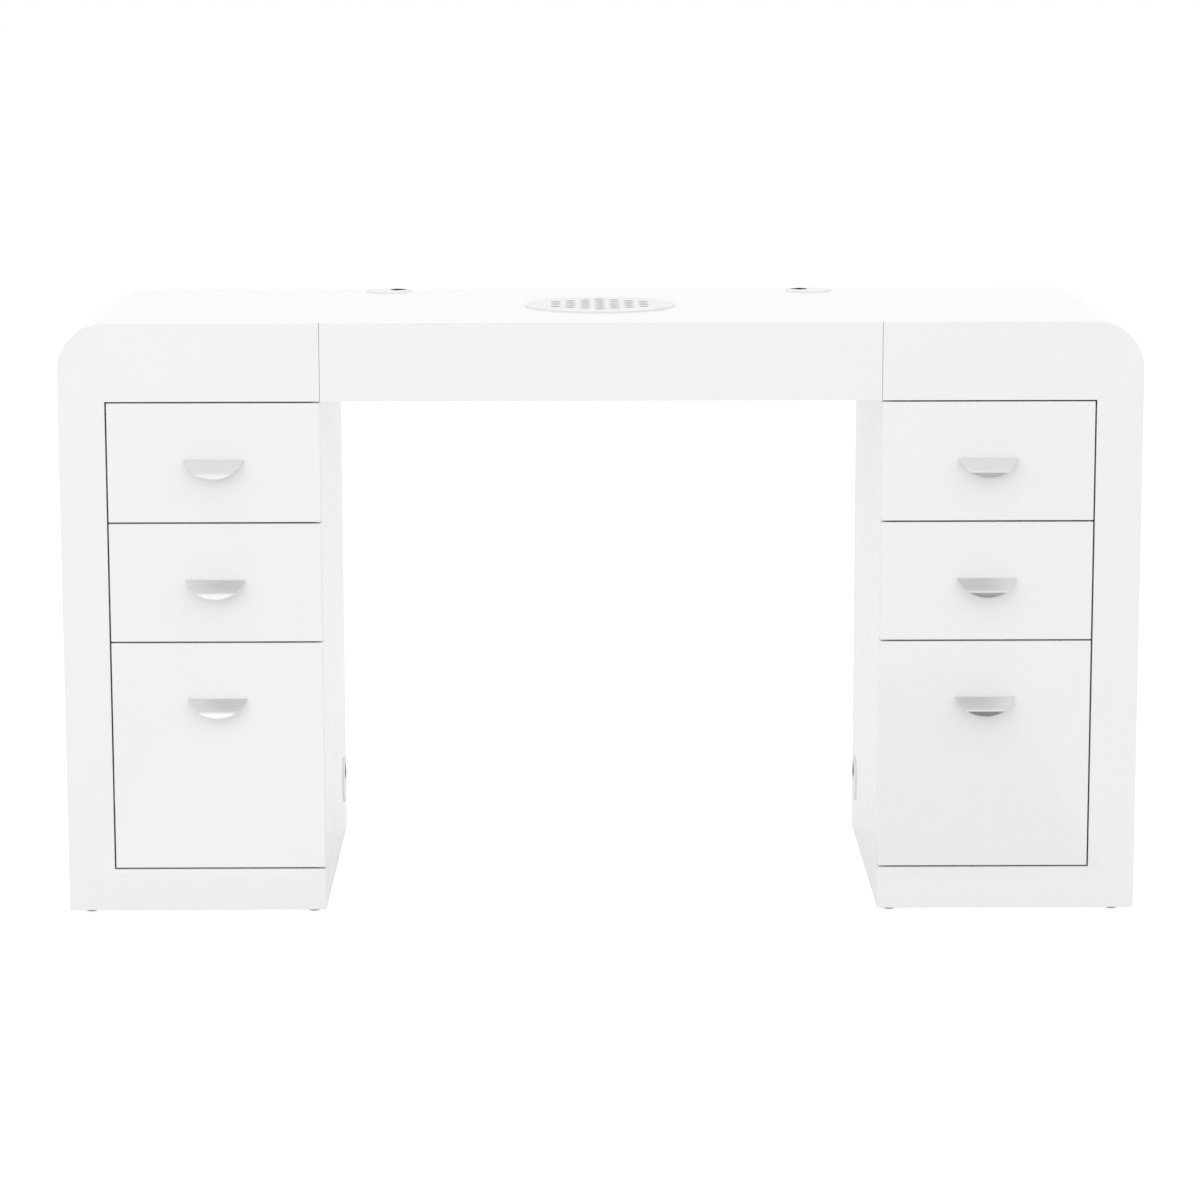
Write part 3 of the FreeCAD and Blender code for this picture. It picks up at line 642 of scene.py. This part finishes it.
def grommets(name, side):
    """The ring and the turning cap in the bridge top, and the pair low in the knee panel."""
    mirror = Matrix.Scale(side, 4, (1, 0, 0)) if side < 0 else Matrix.Identity(4)
    for place, notch, depth in (("top", TOP_NOTCH, BOARD - SLEEVE_SHORT),
                                ("knee", KNEE_NOTCH, PANEL - SLEEVE_SHORT)):
        node = f"{name}_{place}_grommet_cap"
        low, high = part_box(node)
        centre = (low + high) / 2
        centre.x = abs(centre.x)
        if place == "top":
            stand = Matrix.Translation((centre.x, centre.y, TOP_Z))
        else:
            stand = Matrix(((0, 0, -1, SEAM_X), (1, 0, 0, centre.y), (0, -1, 0, centre.z), (0, 0, 0, 1)))
        stand = mirror @ stand
        cap = Solid().plate("z", CAP_BASE, CAP_BASE + CAP_THICKNESS, cap_outline(notch))
        made = cap.piece(node + "_finished", "grommet_plastic", node, [node], CAP_EDGE, place=stand)
        # painted shade: the sides of the cap's notch are made black
        paint_opening_shade(made, stand, in_notch)
        ring = Solid().turned(ring_profile(depth), 96)
        made = ring.piece(f"{name}_{place}_grommet_ring_finished", "grommet_plastic", TABLE,
                          ["grommet_rings"], merge=False, place=stand)
        # painted shade: the inside of the ring's bore is made black
        paint_opening_shade(made, stand, in_bore)


# ---------------------------------------------------------------- vent and fan

GRILLE_RADIUS = 0.101
GRILLE_THICKNESS = 0.002
GRILLE_DOME = 0.0016
GRILLE_SKIRT = (0.094, 0.091)
GRILLE_SKIRT_DEPTH = 0.012
GRILLE_COLUMN_PITCH = 0.0196
GRILLE_HOLE_RADIUS = 0.0072
GRILLE_RINGS = 3
GRILLE_CHAMFER = 0.0003
FILTER_EDGE = 0.0015


def grille():
    """Round grille with a domed rim and a honeycomb of round holes, standing in the bridge top."""
    pitch = GRILLE_COLUMN_PITCH / math.cos(math.radians(30))
    places = []
    for column in range(-GRILLE_RINGS, GRILLE_RINGS + 1):
        count = 2 * GRILLE_RINGS + 1 - abs(column)
        places += [(column * GRILLE_COLUMN_PITCH, (row - (count - 1) / 2) * pitch) for row in range(count)]
    rim = quarter(GRILLE_RADIUS, GRILLE_THICKNESS - GRILLE_DOME, GRILLE_DOME, GRILLE_DOME)
    skirt_outer, skirt_inner = GRILLE_SKIRT
    profile = [*rim[::-1], (GRILLE_RADIUS, 0.0), (skirt_outer, 0.0), (skirt_outer, -GRILLE_SKIRT_DEPTH),
               (skirt_inner, -GRILLE_SKIRT_DEPTH), (skirt_inner, 0.0)]
    solid = Solid()
    rings = [lift(circle(0, 0, radius, 128), "z", TOP_Z + height) for radius, height in profile]
    for start, end in zip(rings, rings[1:]):
        solid.wall(start, end)
    chamfer = quarter(GRILLE_HOLE_RADIUS + GRILLE_CHAMFER, GRILLE_THICKNESS,
                      GRILLE_CHAMFER, -GRILLE_CHAMFER, 3)
    levels = [*chamfer, (GRILLE_HOLE_RADIUS, 0.0)]
    holes = [[lift(circle(x, y, radius, 32), "z", TOP_Z + height) for radius, height in levels]
             for x, y in places]
    solid.flat(rings[0], *[hole[0] for hole in holes])
    solid.flat(rings[-1], *[hole[-1] for hole in holes])
    for hole in holes:
        for start, end in zip(hole, hole[1:]):
            solid.wall(start, end)
    solid.piece("vent_grille_finished", "grille_plastic", "vent_grille", ["vent_grille"])


def dust_filter():
    low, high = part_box("dust_filter")
    top = quarter(high.x, high.z - FILTER_EDGE, FILTER_EDGE, FILTER_EDGE, 4)
    bottom = quarter(high.x, low.z + FILTER_EDGE, FILTER_EDGE, -FILTER_EDGE, 4)
    profile = [(0.0, low.z), *bottom[::-1], *top, (0.0, high.z)]
    solid = Solid().turned(profile, 128)
    solid.piece("dust_filter_finished", "filter_foam", TABLE, ["dust_filter"], merge=False)


# ---------------------------------------------------------------- feet

FOOT_RADIUS = 0.008
FOOT_STUD_RADIUS = 0.004
FOOT_INNER_INSET = 0.017
FOOT_END_INSET = 0.024
FOOT_EDGE = 0.0008


def feet():
    """Turned pads with a stud each, under both pedestals."""
    low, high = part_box("feet")
    lower_edge = quarter(FOOT_RADIUS, FOOT_EDGE * 2, FOOT_EDGE * 2, -FOOT_EDGE * 2)
    upper_edge = quarter(FOOT_RADIUS, BODY_Z - FOOT_EDGE, FOOT_EDGE, FOOT_EDGE, 4)
    profile = [(0.0, 0.0), *lower_edge[::-1], *upper_edge, (FOOT_STUD_RADIUS, BODY_Z),
               (FOOT_STUD_RADIUS, high.z - FOOT_EDGE), (FOOT_STUD_RADIUS - FOOT_EDGE, high.z),
               (0.0, high.z)]
    solid = Solid()
    outer_x, inner_x = high.x - FOOT_RADIUS, SEAM_X + FOOT_INNER_INSET
    for x in (-outer_x, -inner_x, inner_x, outer_x):
        for y in (FRONT_Y + FOOT_END_INSET, BACK_Y - FOOT_END_INSET):
            solid.turned(profile, 40, Vector((x, y, low.z)))
    solid.piece("feet_finished", "foot_plastic", TABLE, ["feet"], merge=False)


# ---------------------------------------------------------------- the table

for side_name, side_sign in SIDES.items():
    shell(side_name, side_sign)
    knee_panel(side_name, side_sign)
    grommets(side_name, side_sign)
    for level in LEVELS:
        drawer = f"{side_name}_{level}_drawer"
        drawer_front(drawer)
        drawer_box(drawer)
        pull(drawer)
        keep(drawer + "_pull_screws", "zinc_steel")
        keep(drawer + "_slides", "zinc_steel", STEEL_EDGE)
        keep(drawer + "_slide_middles", "zinc_steel", STEEL_EDGE)
bay_liners()
bridge()
grille()
dust_filter()
feet()
for node in ("base_panels", "back_panels", "bridge_underside", "bridge_end_panels"):
    keep(node, "white_board")
for node in ("cabinet_slides", "bridge_bolts"):
    keep(node, "zinc_steel", STEEL_EDGE)
for node in ("fan_housing", "fan_motor", "fan_impeller"):
    keep(node, "fan_plastic")


# ---------------------------------------------------------------- studio

FLOOR_SIZE = 60.0
FLOOR_BOUNCE = 0.5
BOUNCE_GLOW = 0.42
CARD_REACH = (0.38, 0.69)         # across: no wider than the pedestal behind it
CARD_DEPTH = (-1.9, -0.45)
BACKDROP_ALBEDO = 0.25
BACKDROP_GLOW = 0.86
WORLD_LIGHT = 1.0
BOUNCE_HEIGHT = -0.0005           # just under the floor that the camera sees
CARD_HEIGHT = 0.001

CAMERA_PLACE = (-0.0357, -5.2800, 1.2965)
CAMERA_PITCH = 0.1721             # radians, downwards
CAMERA_YAW = 0.0067
CAMERA_ROLL = -0.0015
CAMERA_LENS = 118.3               # millimetres
CAMERA_SENSOR = 36.0
CAMERA_CLIP = 200.0

# name: place, target, width and length, watts
SOFTBOXES = {
    "overhead": ((0.0, -0.3, 2.6), (0, 0, 0.7), (3.2, 2.4), 3.0),
    "front_left": ((-1.6, -3.0, 1.9), (0.0, 0.0, 0.5), (2.5, 1.2), 8.0),
    "front_right": ((1.7, -2.6, 2.2), (0.2, -0.2, 0.5), (0.9, 0.9), 0.6),
}


def studio_sheet(name, corners, height, albedo, glow):
    """A flat level sheet in the studio, given by two opposite corners."""
    bm = bmesh.new()
    bm.faces.new([bm.verts.new(point) for point in lift(rectangle(*corners), "z", height)])
    mesh = bpy.data.meshes.new(name)
    bm.to_mesh(mesh)
    bm.free()
    sheet = bpy.data.objects.new(name, mesh)
    bpy.context.scene.collection.objects.link(sheet)
    nodes = Nodes(name, metallic=0.0)
    nodes.shader.inputs["Base Color"].default_value = (*grey(albedo), 1)
    nodes.shader.inputs["Roughness"].default_value = 0.9
    nodes.shader.inputs["Specular IOR Level"].default_value = 0.0
    nodes.shader.inputs["Emission Color"].default_value = (1, 1, 1, 1)
    nodes.shader.inputs["Emission Strength"].default_value = glow
    mesh.materials.append(nodes.material)
    return sheet


def studio_floor():
    """The floor as the camera sees it is nearly white; the one that lights the table is a pale grey."""
    half = FLOOR_SIZE / 2
    corners = (-half, -half, half, half)
    seen = studio_sheet("studio_floor", corners, 0.0, BACKDROP_ALBEDO, BACKDROP_GLOW)
    seen.visible_diffuse = False
    seen.visible_glossy = False
    seen.visible_transmission = False
    seen.visible_shadow = False
    bounce = studio_sheet("studio_bounce", corners, BOUNCE_HEIGHT, FLOOR_BOUNCE, BOUNCE_GLOW)
    bounce.visible_camera = False


def reflector_card(name, side, glow):
    """A card on the floor before one pedestal, which only shows in the lips of its pulls."""
    x0, x1 = sorted((side * CARD_REACH[0], side * CARD_REACH[1]))
    card = studio_sheet(name, (x0, CARD_DEPTH[0], x1, CARD_DEPTH[1]), CARD_HEIGHT, 0.0, glow)
    card.visible_camera = False
    card.visible_diffuse = False
    card.visible_transmission = False
    card.visible_shadow = False


def studio_world():
    world = bpy.data.worlds.new("studio")
    world.use_nodes = True
    world.node_tree.nodes["Background"].inputs["Color"].default_value = (1, 1, 1, 1)
    world.node_tree.nodes["Background"].inputs["Strength"].default_value = WORLD_LIGHT
    bpy.context.scene.world = world


def softbox(name, place, target, size, power):
    """A rectangular light that doesn't show in reflections."""
    light = bpy.data.lights.new(name, "AREA")
    light.shape = "RECTANGLE"
    light.size, light.size_y = size
    light.energy = power
    made = bpy.data.objects.new(name, light)
    made.location = place
    made.rotation_mode = "QUATERNION"
    made.rotation_quaternion = (Vector(target) - Vector(place)).to_track_quat("-Z", "Y")
    made.visible_glossy = False
    bpy.context.scene.collection.objects.link(made)


def camera():
    """A long lens from the front, a little above the table top and looking down at its middle."""
    lens = bpy.data.cameras.new("camera")
    lens.lens = CAMERA_LENS
    lens.sensor_width = CAMERA_SENSOR
    lens.clip_end = CAMERA_CLIP
    made = bpy.data.objects.new("camera", lens)
    level = math.cos(CAMERA_PITCH)
    forward = Vector((math.sin(CAMERA_YAW) * level, math.cos(CAMERA_YAW) * level, -math.sin(CAMERA_PITCH)))
    made.location = CAMERA_PLACE
    made.rotation_mode = "QUATERNION"
    made.rotation_quaternion = forward.to_track_quat("-Z", "Y") @ Quaternion((0, 0, 1), CAMERA_ROLL)
    bpy.context.scene.collection.objects.link(made)
    bpy.context.scene.camera = made


studio_floor()
reflector_card("bright_card", -1, 1.35)
reflector_card("dark_card", 1, 0.1)
studio_world()
for light_name, setting in SOFTBOXES.items():
    softbox(light_name, *setting)
camera()
bpy.context.scene.view_settings.view_transform = "Standard"
